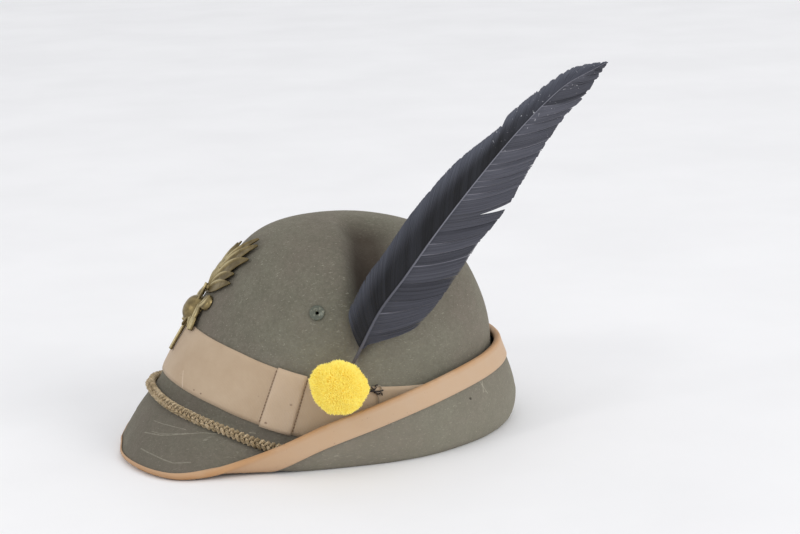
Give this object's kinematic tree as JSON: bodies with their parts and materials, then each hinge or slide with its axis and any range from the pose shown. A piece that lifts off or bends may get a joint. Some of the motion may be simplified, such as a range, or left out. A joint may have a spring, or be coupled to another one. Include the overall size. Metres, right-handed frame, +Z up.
{
  "type": "military cap",
  "caption": "Felt cap of mountain troops with a drooping peak, turned-up brim, leather edge, ribbon band, braided cord, pompom and plume, lying on a surface.",
  "frame": {"origin": "middle of the cap's box in plan, on the surface that it lies on", "axes": "+Z up, -Y towards the peak, +X towards the wearer's left, where the plume stands"},
  "size_m": [0.222, 0.3024, 0.2386],
  "materials": {
    "felt": "grey-green fur felt, short nap",
    "binding_leather": "worn tan leather",
    "ribbon": "ribbed grosgrain ribbon",
    "cord": "braided olive cord",
    "eyelet_metal": "painted, satin",
    "feather": "dark barbs with a soft sheen",
    "wool": "cut wool yarn",
    "wire": "dark, matt",
    "brass": "aged, dull"
  },
  "bodies": {
    "root": {"felt_body": "felt", "edge_binding": "binding_leather", "hat_band": "ribbon", "band_knot": "ribbon", "braided_cord": "cord", "eyelet_left": "eyelet_metal", "eyelet_right": "eyelet_metal", "plume": "feather", "pompom": "wool", "pompom_wire": "wire", "torch_badge": "brass"}
  },
  "joints": []
}
